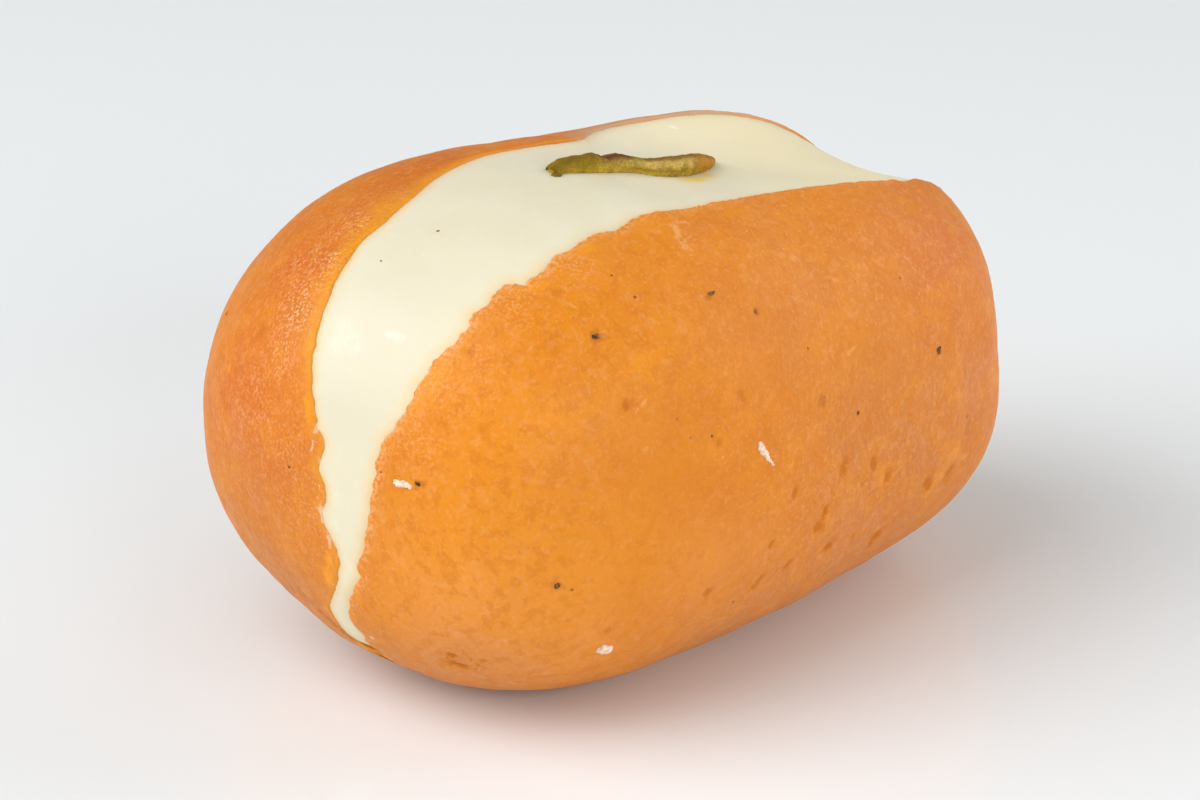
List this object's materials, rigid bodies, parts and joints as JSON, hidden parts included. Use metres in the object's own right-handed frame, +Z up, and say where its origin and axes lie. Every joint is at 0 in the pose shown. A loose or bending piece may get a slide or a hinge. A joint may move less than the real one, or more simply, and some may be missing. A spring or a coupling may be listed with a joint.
{
  "type": "khoya jamun",
  "caption": "Fried milk sweet shaped like a small loaf, slit along its length and filled with thick cream, with a sliver of pistachio on top.",
  "frame": {"origin": "on the surface that the sweet rests on, below the middle of its box", "axes": "+X along the sweet, towards its far end; +Z up, through the slit; +Y towards the left lobe"},
  "size_m": [0.0612, 0.0438, 0.0381],
  "materials": {
    "fried_crust": "fried milk dough, glossed by thin syrup",
    "cream": "smooth thick cream, slightly moist",
    "nut": "split pistachio with bits of brown skin"
  },
  "bodies": {
    "root": {"jamun_body": "fried_crust", "cream_filling": "cream", "pistachio_sliver": "nut"}
  },
  "joints": []
}
